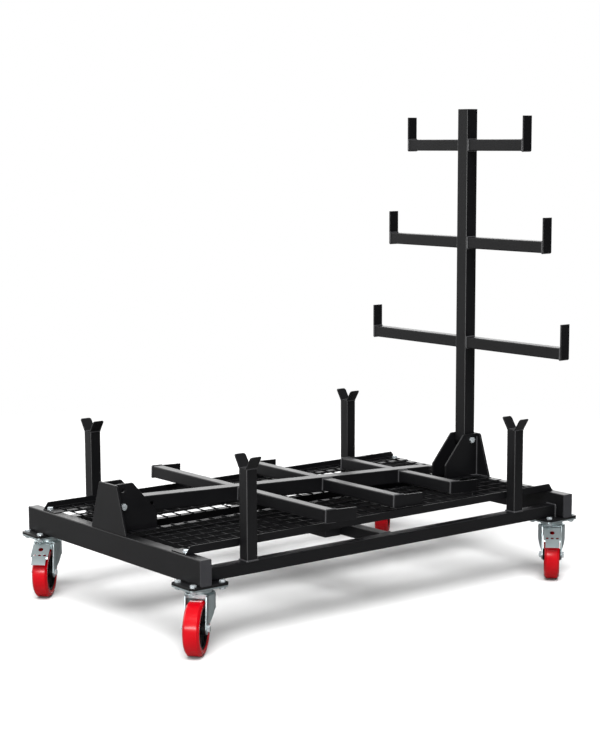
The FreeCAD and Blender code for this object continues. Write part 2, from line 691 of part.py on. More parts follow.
def build_casters():
    mounts = []
    plates = []
    pins = []
    bolts = []
    nuts = []
    for end, sx in ends:
        for side, sy in sides:
            name = end + "_" + side
            spot = FreeCAD.Vector(sx * caster_x, sy * caster_y, 0)

            def swivelled(*solids):
                heading = caster_headings[name]
                return [solid.rotated(ORIGIN, Z_AXIS, heading).translated(spot) for solid in solids]

            mounts.append(caster_plate(mount_under, rail_bottom).translated(spot))
            plates.append(caster_top_plate().translated(spot))
            pins.append(kingpin().translated(spot))
            for x, y in caster_bolt_places():
                bolt, nut = caster_fastener(x, y)
                bolts.append(bolt.translated(spot))
                nuts.append(nut.translated(spot))
            tyre, centre = wheel()
            save("fork_" + name, *swivelled(fork(name in braked_casters)))
            save("axle_" + name, *swivelled(*axle()))
            save("tyre_" + name, *swivelled(tyre))
            save("wheel_centre_" + name, *swivelled(centre))
            if name in braked_casters:
                save("brake_pedal_" + name, *swivelled(pedal()))
    save("caster_mounts", *mounts)
    save("caster_top_plates", *plates)
    save("kingpins", *pins)
    save("caster_bolts", *bolts)
    save("caster_nuts", *nuts)


os.makedirs("parts", exist_ok=True)
build_end_rails()
build_inner_frame()
build_deck_edges()
build_deck_mesh()
build_deck_bolts()
build_posts()
build_brackets()
build_pivots()
build_masts()
build_casters()
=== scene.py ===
import bmesh
import bpy
import json
import math
from mathutils import Euler, Matrix, Vector


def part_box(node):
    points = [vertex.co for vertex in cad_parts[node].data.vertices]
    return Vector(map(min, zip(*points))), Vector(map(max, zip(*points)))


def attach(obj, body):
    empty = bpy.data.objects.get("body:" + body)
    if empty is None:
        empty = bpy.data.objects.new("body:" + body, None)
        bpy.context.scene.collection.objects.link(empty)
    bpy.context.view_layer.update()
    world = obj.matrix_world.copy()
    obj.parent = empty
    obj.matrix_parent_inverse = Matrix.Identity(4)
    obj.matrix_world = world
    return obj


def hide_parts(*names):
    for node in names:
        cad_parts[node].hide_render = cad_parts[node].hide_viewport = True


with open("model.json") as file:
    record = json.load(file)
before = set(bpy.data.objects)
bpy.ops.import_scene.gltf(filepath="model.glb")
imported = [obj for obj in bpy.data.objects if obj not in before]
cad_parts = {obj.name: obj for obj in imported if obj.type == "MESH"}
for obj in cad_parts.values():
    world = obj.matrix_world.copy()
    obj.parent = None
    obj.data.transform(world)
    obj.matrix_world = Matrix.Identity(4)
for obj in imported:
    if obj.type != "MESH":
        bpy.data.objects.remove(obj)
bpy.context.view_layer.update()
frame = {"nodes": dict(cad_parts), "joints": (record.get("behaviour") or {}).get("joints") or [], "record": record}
record = frame["record"]
joints = {joint["name"]: joint for joint in frame["joints"]}
casters = ["left_near", "left_far", "right_near", "right_far"]


# Node trees: arithmetic on a Flow adds Math nodes, add() makes any other node
class Flow:
    def __init__(self, tree, socket=None):
        self.tree = tree
        self.socket = socket

    def add(self, kind, settings=None, sockets=None, out=0):
        node = self.tree.nodes.new(kind)
        for name, value in (settings or {}).items():
            setattr(node, name, value)
        for key, value in (sockets or {}).items():
            for one in value if isinstance(value, list) else [value]:
                if isinstance(one, Flow):
                    self.tree.links.new(one.socket, node.inputs[key])
                else:
                    node.inputs[key].default_value = one
        return Flow(self.tree, node.outputs[out] if node.outputs else None)

    def calc(self, operation, first, second):
        return self.add("ShaderNodeMath", {"operation": operation}, {0: first, 1: second})

    def __add__(self, other):
        return self.calc("ADD", self, other)

    def __radd__(self, other):
        return self.calc("ADD", other, self)

    def __sub__(self, other):
        return self.calc("SUBTRACT", self, other)

    def __rsub__(self, other):
        return self.calc("SUBTRACT", other, self)

    def __mul__(self, other):
        return self.calc("MULTIPLY", self, other)

    def __rmul__(self, other):
        return self.calc("MULTIPLY", other, self)


# Materials
def newMaterial(name):
    material = bpy.data.materials.new(name)
    material.use_nodes = True
    material.node_tree.nodes.clear()
    return material, Flow(material.node_tree)


def speckle(flow, place, size, detail=2.0):
    return flow.add("ShaderNodeTexNoise", {}, {"Vector": place, "Scale": 1 / size, "Detail": detail})


def blended(flow, share, first, second):
    return flow.add("ShaderNodeMix", {"data_type": "RGBA"}, {0: share, 6: first, 7: second}, out=2)


def swing(noise, amount):
    return (noise - 0.5) * amount       # about the middle of the noise


def bumped(flow, relief, strength, height):
    return flow.add("ShaderNodeBump", {}, {"Strength": strength, "Distance": height, "Height": relief})


powderCoat = {
    "deep": (0.0016, 0.0016, 0.0019, 1),
    "worn": (0.0034, 0.0034, 0.0039, 1),
    "cloudSize": 0.11,          # metres, broad unevenness of the coat
    "peelSize": 0.0021,         # orange peel
    "gritSize": 0.00055,        # fine texture of the powder
    "roughness": 0.40,
    "roughnessSwing": 0.14,
    "gritSwing": 0.1,           # the same, from the fine texture
    "peelShare": 0.7,           # of the relief, the rest is grit
    "peelHeight": 0.00007,
    "peelStrength": 0.35,
    "gloss": 0.30,              # specular level
}


def makePowderCoat(name, look):
    material, flow = newMaterial(name)
    place = flow.add("ShaderNodeTexCoord", out="Object")
    cloud = speckle(flow, place, look["cloudSize"], detail=4.0)
    peel = speckle(flow, place, look["peelSize"])
    grit = speckle(flow, place, look["gritSize"], detail=1.0)
    relief = peel * look["peelShare"] + grit * (1 - look["peelShare"])
    bump = bumped(flow, relief, look["peelStrength"], look["peelHeight"])
    roughness = look["roughness"] + swing(cloud, look["roughnessSwing"]) + swing(grit, look["gritSwing"])
    shader = flow.add("ShaderNodeBsdfPrincipled", {}, {
        "Base Color": blended(flow, cloud, look["deep"], look["worn"]),
        "Roughness": roughness,
        "Specular IOR Level": look["gloss"],
        "Normal": bump,
    })
    flow.add("ShaderNodeOutputMaterial", {}, {"Surface": shader})
    return material


zincPlate = {
    "cool": (0.50, 0.59, 0.61, 1),
    "bright": (0.64, 0.72, 0.73, 1),
    "metal": 1.0,
    "mottleSize": 0.024,
    "grainSize": 0.0012,
    "roughness": 0.33,
    "roughnessSwing": 0.12,
    "grainSwing": 0.08,         # the same, from the grain
    "grainHeight": 0.00002,
    "grainStrength": 0.3,
}


def makeZinc(name, look):
    material, flow = newMaterial(name)
    place = flow.add("ShaderNodeTexCoord", out="Object")
    mottle = speckle(flow, place, look["mottleSize"], detail=5.0)
    grain = speckle(flow, place, look["grainSize"])
    bump = bumped(flow, grain, look["grainStrength"], look["grainHeight"])
    roughness = look["roughness"] + swing(mottle, look["roughnessSwing"]) + swing(grain, look["grainSwing"])
    shader = flow.add("ShaderNodeBsdfPrincipled", {}, {
        "Base Color": blended(flow, mottle, look["cool"], look["bright"]),
        "Metallic": look["metal"],
        "Roughness": roughness,
        "Normal": bump,
    })
    flow.add("ShaderNodeOutputMaterial", {}, {"Surface": shader})
    return material


tyreRed = {
    "deep": (0.23, 0.0003, 0.0026, 1),
    "bright": (0.29, 0.0006, 0.0036, 1),
    "cloudSize": 0.035,
    "grainSize": 0.0012,
    "roughness": 0.21,
    "roughnessSwing": 0.16,
    "grainSwing": 0.06,         # the same, from the grain
    "gloss": 0.22,              # specular level
    "grainHeight": 0.00004,
    "grainStrength": 0.25,
}


def makeTyreRed(name, look):
    material, flow = newMaterial(name)
    place = flow.add("ShaderNodeTexCoord", out="Object")
    cloud = speckle(flow, place, look["cloudSize"], detail=3.0)
    grain = speckle(flow, place, look["grainSize"])
    bump = bumped(flow, grain, look["grainStrength"], look["grainHeight"])
    roughness = look["roughness"] + swing(cloud, look["roughnessSwing"]) + swing(grain, look["grainSwing"])
    shader = flow.add("ShaderNodeBsdfPrincipled", {}, {
        "Base Color": blended(flow, cloud, look["deep"], look["bright"]),
        "Roughness": roughness,
        "Specular IOR Level": look["gloss"],
        "Normal": bump,
    })
    flow.add("ShaderNodeOutputMaterial", {}, {"Surface": shader})
    return material


hubNylon = {
    "deep": (0.0010, 0.0010, 0.0011, 1),
    "dusty": (0.0032, 0.0032, 0.0034, 1),
    "cloudSize": 0.02,
    "grainSize": 0.0007,
    "roughness": 0.5,
    "grainSwing": 0.2,          # unevenness of the roughness
    "gloss": 0.14,              # specular level
    "grainHeight": 0.00006,
    "grainStrength": 0.4,
}


def makeHubNylon(name, look):
    material, flow = newMaterial(name)
    place = flow.add("ShaderNodeTexCoord", out="Object")
    cloud = speckle(flow, place, look["cloudSize"], detail=3.0)
    grain = speckle(flow, place, look["grainSize"])
    bump = bumped(flow, grain, look["grainStrength"], look["grainHeight"])
    shader = flow.add("ShaderNodeBsdfPrincipled", {}, {
        "Base Color": blended(flow, cloud, look["deep"], look["dusty"]),
        "Roughness": look["roughness"] + swing(grain, look["grainSwing"]),
        "Specular IOR Level": look["gloss"],
        "Normal": bump,
    })
    flow.add("ShaderNodeOutputMaterial", {}, {"Surface": shader})
    return material


# Finishes that differ a little from the main paint and plating
capPaint = {**powderCoat, "deep": (0.014, 0.014, 0.016, 1), "worn": (0.021, 0.021, 0.023, 1)}
wirePaint = {**powderCoat, "roughness": 0.55, "gloss": 0.14}
# weld beads: base colour several times lighter than the frame's paint, a painted highlight for the light the beads
# catch; only the extra gloss is real
weldPaintWithPaintedHighlight = {**powderCoat, "deep": (0.012, 0.012, 0.013, 1), "worn": (0.035, 0.035, 0.037, 1),
             "roughness": 0.30, "gloss": 0.6}
boltPlate = {**zincPlate, "cool": (0.48, 0.54, 0.57, 1), "bright": (0.72, 0.76, 0.78, 1), "metal": 0.74,
             "mottleSize": 0.005, "roughness": 0.2}

coat = makePowderCoat("blackPowderCoat", powderCoat)
capCoat = makePowderCoat("greyCapCoat", capPaint)
wireCoat = makePowderCoat("dullWireCoat", wirePaint)
# lightened weld paint: painted highlight on the beads
weldCoatPaintedHighlight = makePowderCoat("glossyWeldCoatPaintedHighlight", weldPaintWithPaintedHighlight)
zinc = makeZinc("zincPressings", zincPlate)
boltZinc = makeZinc("zincFasteners", boltPlate)
red = makeTyreRed("redTyre", tyreRed)
nylon = makeHubNylon("blackHubNylon", hubNylon)


# Putting finished meshes on their bodies
edgeLitNames = ("right_", "post_")      # the standing mast and the posts take the edge light
edgeLitPieces = bpy.data.collections.new("edgeLitPieces")


def showMesh(name, mesh, material, body, replaced=()):
    mesh.materials.clear()
    mesh.materials.append(material)
    piece = bpy.data.objects.new(name, mesh)
    bpy.context.scene.collection.objects.link(piece)
    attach(piece, body)
    if name.startswith(edgeLitNames):
        edgeLitPieces.objects.link(piece)
    if replaced:
        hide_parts(*replaced)
    return piece


def applied(name, mesh, *modifiers):
    # a plain mesh with these modifiers worked in
    holder = bpy.data.objects.new(name, mesh)
    bpy.context.scene.collection.objects.link(holder)
    for kind, settings in modifiers:
        modifier = holder.modifiers.new(kind.lower(), kind)
        for key, value in settings.items():
            setattr(modifier, key, value)
    bpy.context.view_layer.update()
    result = bpy.data.meshes.new_from_object(holder.evaluated_get(bpy.context.evaluated_depsgraph_get()))
    result.name = name
    bpy.data.objects.remove(holder)
    bpy.data.meshes.remove(mesh)
    return result


# Frame, masts and pressings: the built shape with its sharp edges eased
easedEdges = {
    "default": 0.0006,          # metres
    "bracket": 0.0018,
    "post_cradles": 0.0016,
    "arm_stops": 0.0010,
    "caster": 0.0008,
    "fork": 0.0007,
    "brake_pedal": 0.0005,
}
sharpAngle = math.radians(32)
flatAngle = math.radians(0.4)
mergeDistance = 1e-6


def easedCopy(nodeName, radius):
    mesh = frame["nodes"][nodeName].data.copy()
    shape = bmesh.new()
    shape.from_mesh(mesh)
    bmesh.ops.remove_doubles(shape, verts=shape.verts, dist=mergeDistance)
    bmesh.ops.dissolve_limit(shape, angle_limit=flatAngle, verts=shape.verts, edges=shape.edges)
    sharp = [edge for edge in shape.edges if edge.is_manifold and edge.calc_face_angle() > sharpAngle]
    bmesh.ops.bevel(shape, geom=sharp, offset=radius, segments=2, profile=0.5, affect="EDGES",
                    clamp_overlap=False)
    for face in shape.faces:
        face.smooth = True
    shape.to_mesh(mesh)
    shape.free()
    return applied(nodeName + "_eased", mesh, ("WEIGHTED_NORMAL", {"keep_sharp": True, "weight": 60}))


zincNodes = ("caster_top_plates", "kingpins", "fork_", "brake_pedal_")
rebuiltNodes = ("deck_mesh_", "deck_bolts", "pivot_", "caster_bolts", "caster_nuts", "axle_", "tyre_",
                "wheel_centre_")


def finishOf(nodeName):
    if nodeName.startswith(zincNodes):
        return zinc
    return capCoat if nodeName == "rail_end_caps" else coat


for body, members in record["behaviour"]["bodies"].items():
    for nodeName in members:
        if nodeName.startswith(rebuiltNodes):
            continue
        radius = next((size for key, size in easedEdges.items() if key in nodeName), easedEdges["default"])
        showMesh(nodeName + "_eased", easedCopy(nodeName, radius), finishOf(nodeName), body, [nodeName])
print("built shapes eased")


# Geometry Nodes: a tree with named inputs, grown on a small mesh and kept as a plain mesh
def startTree(name, inputs):
    tree = bpy.data.node_groups.new(name, "GeometryNodeTree")
    tree.interface.new_socket("Geometry", in_out="INPUT", socket_type="NodeSocketGeometry")
    for label, kind in inputs.items():
        tree.interface.new_socket(label, in_out="INPUT", socket_type="NodeSocket" + kind)
    tree.interface.new_socket("Geometry", in_out="OUTPUT", socket_type="NodeSocketGeometry")
    entry = tree.nodes.new("NodeGroupInput")
    return tree, {socket.name: Flow(tree, socket) for socket in entry.outputs if socket.name}


def closeTree(tree, geometry):
    flow = Flow(tree)
    real = flow.add("GeometryNodeRealizeInstances", {}, {"Geometry": geometry})
    smooth = flow.add("GeometryNodeSetShadeSmooth", {}, {"Geometry": real})
    entry = next(node for node in tree.nodes if node.type == "GROUP_INPUT")
    finish = Flow(tree, entry.outputs["Material"])
    painted = flow.add("GeometryNodeSetMaterial", {}, {"Geometry": smooth, "Material": finish})
    flow.add("NodeGroupOutput", {}, {"Geometry": painted})
    return tree


def grown(name, tree, sizes, vertices=(), edges=(), facings=None):
    seed = bpy.data.meshes.new(name + "Seed")
    seed.from_pydata([tuple(v) for v in vertices], [tuple(e) for e in edges], [])
    if facings is not None:
        facing = seed.attributes.new("facing", "FLOAT_VECTOR", "POINT")
        for item, direction in zip(facing.data, facings):
            item.vector = direction
    holder = bpy.data.objects.new(name, seed)
    bpy.context.scene.collection.objects.link(holder)
    modifier = holder.modifiers.new("grow", "NODES")
    modifier.node_group = tree
    for item in tree.interface.items_tree:
        if item.in_out == "INPUT" and item.name in sizes:
            modifier[item.identifier] = sizes[item.name]
    bpy.context.view_layer.update()
    result = bpy.data.meshes.new_from_object(holder.evaluated_get(bpy.context.evaluated_depsgraph_get()))
    result.name = name
    bpy.data.objects.remove(holder)
    bpy.data.meshes.remove(seed)
    return result


# Deck: welded wire, cross wires below and long wires above
deckWire = {
    "pitch": 0.05,
    "overhang": 0.012,          # long wire past the last cross wire
    "margin": 0.018,            # outer face of the deck edge to the first long wire
    "longCount": 7,
    "sides": 12,
    "nuggetSpread": 1.25,       # weld nugget at a crossing, in wire radii
    "nuggetHeight": 0.75,
    "nuggetSegments": 8,
    "nuggetRings": 4,
}


def makeWireTree():
    tree, size = startTree("deckWireMesh", {
        "Material": "Material", "Radius": "Float", "Pitch": "Float", "Cross Count": "Int",
        "Long Count": "Int", "Inner": "Float", "Outer": "Float", "Middle": "Float", "Half Length": "Float",
        "Low": "Float", "Sides": "Int", "Nugget Spread": "Float", "Nugget Height": "Float"})
    flow = Flow(tree)

    def vector(x, y, z):
        return flow.add("ShaderNodeCombineXYZ", {}, {"X": x, "Y": y, "Z": z})

    def wire(start, end):
        line = flow.add("GeometryNodeCurvePrimitiveLine", {}, {"Start": start, "End": end})
        ring = flow.add("GeometryNodeCurvePrimitiveCircle", {}, {"Resolution": size["Sides"],
                                                                 "Radius": size["Radius"]})
        return flow.add("GeometryNodeCurveToMesh", {}, {"Curve": line, "Profile Curve": ring,
                                                        "Fill Caps": True})

    def row(count, start, step, part):
        points = flow.add("GeometryNodeMeshLine", {}, {"Count": count, "Start Location": start,
                                                       "Offset": step})
        return flow.add("GeometryNodeInstanceOnPoints", {}, {"Points": points, "Instance": part})

    low = size["Low"] + size["Radius"]
    high = low + 2.0 * size["Radius"]
    firstCross = (size["Cross Count"] - 1.0) * size["Pitch"] * -0.5
    firstLong = size["Middle"] - (size["Long Count"] - 1.0) * size["Pitch"] * 0.5
    crossWires = row(size["Cross Count"], vector(firstCross, 0.0, low), vector(size["Pitch"], 0.0, 0.0),
                     wire(vector(0.0, size["Inner"], 0.0), vector(0.0, size["Outer"], 0.0)))
    longStart = vector(size["Half Length"] * -1.0, 0.0, 0.0)
    longEnd = vector(size["Half Length"], 0.0, 0.0)
    longWires = row(size["Long Count"], vector(0.0, firstLong, high), vector(0.0, size["Pitch"], 0.0),
                    wire(longStart, longEnd))
    crossings = flow.add("GeometryNodeMeshGrid", {}, {
        "Size X": (size["Cross Count"] - 1.0) * size["Pitch"],
        "Size Y": (size["Long Count"] - 1.0) * size["Pitch"],
        "Vertices X": size["Cross Count"], "Vertices Y": size["Long Count"]})
    settled = flow.add("GeometryNodeTransform", {}, {
        "Geometry": crossings, "Translation": vector(0.0, size["Middle"], low + size["Radius"])})
    bead = flow.add("GeometryNodeMeshUVSphere", {}, {
        "Segments": deckWire["nuggetSegments"], "Rings": deckWire["nuggetRings"], "Radius": size["Radius"]})
    nuggets = flow.add("GeometryNodeInstanceOnPoints", {}, {
        "Points": settled, "Instance": bead,
        "Scale": vector(size["Nugget Spread"], size["Nugget Spread"], size["Nugget Height"])})
    joined = flow.add("GeometryNodeJoinGeometry", {}, {"Geometry": [crossWires, longWires, nuggets]})
    return closeTree(tree, joined)


wireTree = makeWireTree()
for side, sign in (("near", -1), ("far", 1)):
    nodeName = "deck_mesh_" + side
    lowest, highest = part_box(nodeName)
    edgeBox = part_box("deck_edge_" + side)
    ys = sorted((abs(lowest.y), abs(highest.y)))
    outerEdge = max(abs(edgeBox[0].y), abs(edgeBox[1].y))
    middle = outerEdge - deckWire["margin"] - (deckWire["longCount"] - 1) * deckWire["pitch"] / 2
    halfLength = (highest.x - lowest.x) / 2
    crossCount = round(2 * (halfLength - deckWire["overhang"]) / deckWire["pitch"]) + 1
    mesh = grown("deckWire_" + side, wireTree, {
        "Material": wireCoat, "Radius": (highest.z - lowest.z) / 4, "Pitch": deckWire["pitch"],
        "Cross Count": crossCount, "Long Count": deckWire["longCount"], "Inner": sign * ys[0],
        "Outer": sign * ys[1], "Middle": sign * middle, "Half Length": halfLength,
        "Low": lowest.z, "Sides": deckWire["sides"], "Nugget Spread": deckWire["nuggetSpread"],
        "Nugget Height": deckWire["nuggetHeight"]})
    showMesh("deckWire_" + side, mesh, wireCoat, "frame", [nodeName])
print("deck wired")


# Fasteners: chamfered hexagons, washers and threaded tails, set on their seats
fastener = {
    "turns": 48,                # points round a form
    "chamfer": 30,              # degrees, of the corners of a head or nut
    "faceShare": 0.93,          # flat round face of a head or nut, over its width across flats
    "threadPitch": 0.0016,
    "threadDepth": 0.0006,
    "spinSeed": 7,              # how far each one was turned home
}
deckBolt = {"flats": 0.017, "head": 0.0064, "washerRadius": 0.010, "washerHeight": 0.002}
casterBolt = {"flats": 0.017, "head": 0.0064, "nut": 0.008, "shank": 0.005, "tail": 0.002,
              "pitchX": 0.105, "pitchY": 0.080}
pivotBolt = {"flats": 0.019, "head": 0.0075, "nut": 0.010, "shank": 0.006, "tail": 0.002}
axleBolt = {"flats": 0.019, "head": 0.0075, "nut": 0.008, "shank": 0.006, "tail": 0.002,
            "seat": 0.034}      # wheel's middle to a fork leg's outer face


def addRings(shape, rings):
    # rings of points, lowest first, joined by quads and closed by a flat face at each end
    rows = [[shape.verts.new(point) for point in ring] for ring in rings]
    count = len(rows[0])
    for lower, upper in zip(rows, rows[1:]):
        for k in range(count):
            after = (k + 1) % count
            shape.faces.new((lower[k], lower[after], upper[after], upper[k]))
    shape.faces.new(rows[0][::-1])
    shape.faces.new(rows[-1])


def around(radiusAt, heightAt):
    turns = [2 * math.pi * k / fastener["turns"] for k in range(fastener["turns"])]
    return [(radiusAt(turn) * math.cos(turn), radiusAt(turn) * math.sin(turn), heightAt(turn))
            for turn in turns]


def addHexagon(shape, flats, base, top, chamferBase):
    sixth = math.pi / 3
    slope = math.tan(math.radians(fastener["chamfer"]))
    faceRadius = flats / 2 * fastener["faceShare"]

    def side(turn):
        return flats / 2 / math.cos((turn + sixth / 2) % sixth - sixth / 2)

    def fall(turn):
        return (side(turn) - faceRadius) * slope

    rings = []
    if chamferBase:
        rings.append(around(lambda turn: faceRadius, lambda turn: base))
        rings.append(around(side, lambda turn: base + fall(turn)))
    else:
        rings.append(around(side, lambda turn: base))
    rings.append(around(side, lambda turn: top - fall(turn)))
    rings.append(around(lambda turn: faceRadius, lambda turn: top))
    addRings(shape, rings)


def addRound(shape, profile):
    addRings(shape, [around(lambda turn: radius, lambda turn: height) for radius, height in profile])


def threadProfile(radius, base, top):
    count = max(1, round((top - base) / fastener["threadPitch"]))
    step = (top - base) / count
    root = radius - fastener["threadDepth"]
    profile = [(radius, base)]
    for k in range(count):
        profile.append((root, base + (k + 0.5) * step))
        profile.append((radius if k < count - 1 else root, base + (k + 1) * step))
    return profile


def formObject(name, *builders):
    shape = bmesh.new()
    for build, values in builders:
        build(shape, *values)
    bmesh.ops.recalc_face_normals(shape, faces=shape.faces)
    mesh = bpy.data.meshes.new(name)
    shape.to_mesh(mesh)
    shape.free()
    form = bpy.data.objects.new(name, mesh)
    bpy.context.scene.collection.objects.link(form)
    return form


def makeFastenTree():
    tree, size = startTree("fastenersOnSeats", {"Material": "Material", "Form": "Object"})
    flow = Flow(tree)
    form = flow.add("GeometryNodeObjectInfo", {}, {"Object": size["Form"]}, out="Geometry")
    facing = flow.add("GeometryNodeInputNamedAttribute", {"data_type": "FLOAT_VECTOR"}, {"Name": "facing"})
    turned = flow.add("FunctionNodeAlignRotationToVector", {"axis": "Z"}, {"Vector": facing})
    placed = flow.add("GeometryNodeInstanceOnPoints", {}, {"Points": size["Geometry"], "Instance": form,
                                                           "Rotation": turned})
    spin = flow.add("FunctionNodeRandomValue", {"data_type": "FLOAT"},
                    {2: 0.0, 3: math.pi / 3, "Seed": fastener["spinSeed"]}, out=1)
    spun = flow.add("GeometryNodeRotateInstances", {}, {
        "Instances": placed, "Local Space": True,
        "Rotation": flow.add("ShaderNodeCombineXYZ", {}, {"X": 0.0, "Y": 0.0, "Z": spin})})
    return closeTree(tree, spun)


fastenTree = makeFastenTree()


def smoothByAngle(mesh):
    shape = bmesh.new()
    shape.from_mesh(mesh)
    for edge in shape.edges:
        edge.smooth = not edge.is_manifold or edge.calc_face_angle() < sharpAngle
    shape.to_mesh(mesh)
    shape.free()
    return mesh


def fasten(name, form, seats, body, replaced):
    # seats are (place, facing) pairs
    mesh = grown(name, fastenTree, {"Material": boltZinc, "Form": form}, [place for place, _ in seats],
                 facings=[facing for _, facing in seats])
    showMesh(name, smoothByAngle(mesh), boltZinc, body, replaced)
    bpy.data.objects.remove(form)


def headForm(name, size):
    return formObject(name, (addHexagon, (size["flats"], 0.0, size["head"], False)))


def nutForm(name, size):
    tail = threadProfile(size["shank"], size["nut"] - size["tail"], size["nut"] + size["tail"])
    return formObject(name, (addHexagon, (size["flats"], 0.0, size["nut"], True)), (addRound, (tail,)))


up = Vector((0, 0, 1))
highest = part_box("deck_bolts")[1]
deckSeat = highest.z - deckBolt["head"] - deckBolt["washerHeight"]
boltX = highest.x - deckBolt["washerRadius"]
boltY = highest.y - deckBolt["washerRadius"]
deckSeats = [(Vector((sx * boltX, sy * boltY, deckSeat)), up) for sx in (-1, 1) for sy in (-1, 1)]
washer = [(deckBolt["washerRadius"], 0.0), (deckBolt["washerRadius"], deckBolt["washerHeight"])]
deckForm = formObject("deckBoltForm", (addRound, (washer,)),
                      (addHexagon, (deckBolt["flats"], deckBolt["washerHeight"],
                                    deckBolt["washerHeight"] + deckBolt["head"], False)))
fasten("deckBolts", deckForm, deckSeats, "frame", ["deck_bolts"])

boltSpots = []
for name in casters:
    centre = Vector(joints["swivel_" + name + "_turn"]["pos_m"])
    boltSpots += [centre + Vector((sx * casterBolt["pitchX"] / 2, sy * casterBolt["pitchY"] / 2, 0))
                  for sx in (-1, 1) for sy in (-1, 1)]
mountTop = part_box("caster_mounts")[1].z
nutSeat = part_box("caster_nuts")[1].z
fasten("casterBoltHeads", headForm("casterHeadForm", casterBolt),
       [(Vector((spot.x, spot.y, mountTop)), up) for spot in boltSpots], "frame", ["caster_bolts"])
fasten("casterNuts", nutForm("casterNutForm", casterBolt),
       [(Vector((spot.x, spot.y, nutSeat)), -up) for spot in boltSpots], "frame", ["caster_nuts"])

across = Vector((0, 1, 0))
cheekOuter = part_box("bracket_cheeks_left")[1].y
pivots = [Vector(joints[end + "_mast_fold"]["pos_m"]) for end in ("left", "right")]
fasten("pivotBoltHeads", headForm("pivotHeadForm", pivotBolt),
       [(pivot - across * cheekOuter, -across) for pivot in pivots], "frame", ["pivot_bolts"])
fasten("pivotNuts", nutForm("pivotNutForm", pivotBolt),
       [(pivot + across * cheekOuter, across) for pivot in pivots], "frame", ["pivot_nuts"])

for name in casters:
    roll = joints["wheel_" + name + "_roll"]
    centre = Vector(roll["pos_m"])
    along = Vector(roll["axis"])
    out = along * axleBolt["seat"]
    fasten("axleHead_" + name, headForm("axleHeadForm", axleBolt), [(centre + out, along)], "swivel_" + name,
           ["axle_" + name])
    fasten("axleNut_" + name, nutForm("axleNutForm", axleBolt), [(centre - out, -along)], "swivel_" + name,
           ["axle_" + name])
print("fasteners seated")


# Wheels: red tyre on a black ribbed centre, turned about the axle
tyre = {
    "width": 0.050,
    "shoulderWidth": 0.0065,
    "shoulderDrop": 0.008,
    "depth": 0.020,             # tread to rim
    "edge": 0.0022,             # rounding of the tread's edges
    "turns": 120,
    "lipInset": 0.0008,         # step in the sidewall above the rim
    "lipHeight": 0.006,
    "lipEdge": 0.0004,
}
wheelCentre = {
    "rimInset": 0.003,
    "rimDepth": 0.008,
    "webHalf": 0.011,
    "bossRadius": 0.020,
    "bossHalf": 0.0295,
    "bore": 0.0065,
    "edge": 0.0012,
    "boreEdge": 0.0006,
    "ribCount": 10,
    "ribThickness": 0.0034,
    "ribRise": 0.0085,          # above the web
    "ribSink": 0.002,           # into the boss and the rim
    "ribEdge": 0.0006,
}
arcSteps = 4


def roundedLoop(corners):
    # corners are (radius, height, rounding); each rounded one becomes a short arc
    points = []
    count = len(corners)
    for k, (r, z, rounding) in enumerate(corners):
        here = Vector((r, z))
        if rounding == 0:
            points.append(here)
            continue
        back = (Vector(corners[k - 1][:2]) - here).normalized()
        ahead = (Vector(corners[(k + 1) % count][:2]) - here).normalized()
        half = back.angle(ahead) / 2
        reach = rounding / math.tan(half)
        middle = here + (back + ahead).normalized() * rounding / math.sin(half)
        start = here + back * reach - middle
        turn = start.angle_signed(here + ahead * reach - middle)
        for step in range(arcSteps + 1):
            spin = -turn * step / arcSteps
            points.append(middle + Vector((start.x * math.cos(spin) - start.y * math.sin(spin),
                                           start.x * math.sin(spin) + start.y * math.cos(spin))))
    return points


def lathed(name, loop, turns, place):
    # a closed loop of (radius, height) swept round the axle
    shape = bmesh.new()
    rows = []
    for k in range(turns):
        turn = 2 * math.pi * k / turns
        rows.append([shape.verts.new((p.x * math.cos(turn), p.x * math.sin(turn), p.y)) for p in loop])
    for k, row in enumerate(rows):
        following = rows[(k + 1) % turns]
        for j in range(len(loop)):
            after = (j + 1) % len(loop)
            shape.faces.new((row[j], following[j], following[after], row[after]))
    bmesh.ops.recalc_face_normals(shape, faces=shape.faces)
    for face in shape.faces:
        face.smooth = True
    mesh = bpy.data.meshes.new(name)
    shape.to_mesh(mesh)
    shape.free()
    mesh.transform(place)
    return smoothByAngle(mesh)


def mirrored(half):
    return half + [(r, -z, rounding) for r, z, rounding in reversed(half)]


def tyreLoop(radius):
    rim = radius - tyre["depth"]
    side = tyre["width"] / 2
    inset = side - tyre["lipInset"]
    lip = rim + tyre["lipHeight"]
    half = [(rim, inset, 0), (lip, inset, 0), (lip + tyre["lipInset"], side, tyre["lipEdge"]),
            (radius - tyre["shoulderDrop"], side, tyre["edge"]),
            (radius, side - tyre["shoulderWidth"], tyre["edge"])]
    return roundedLoop(mirrored(half))


def centreLoop(radius):
    rim = radius - tyre["depth"]
    inner = rim - wheelCentre["rimDepth"]
    side = tyre["width"] / 2 - wheelCentre["rimInset"]
    edge = wheelCentre["edge"]
    half = [(wheelCentre["bore"], wheelCentre["bossHalf"], wheelCentre["boreEdge"]),
            (wheelCentre["bossRadius"], wheelCentre["bossHalf"], edge),
            (wheelCentre["bossRadius"], wheelCentre["webHalf"], edge),
            (inner, wheelCentre["webHalf"], edge), (inner, side, edge), (rim, side, 0)]
    return roundedLoop(mirrored(half))


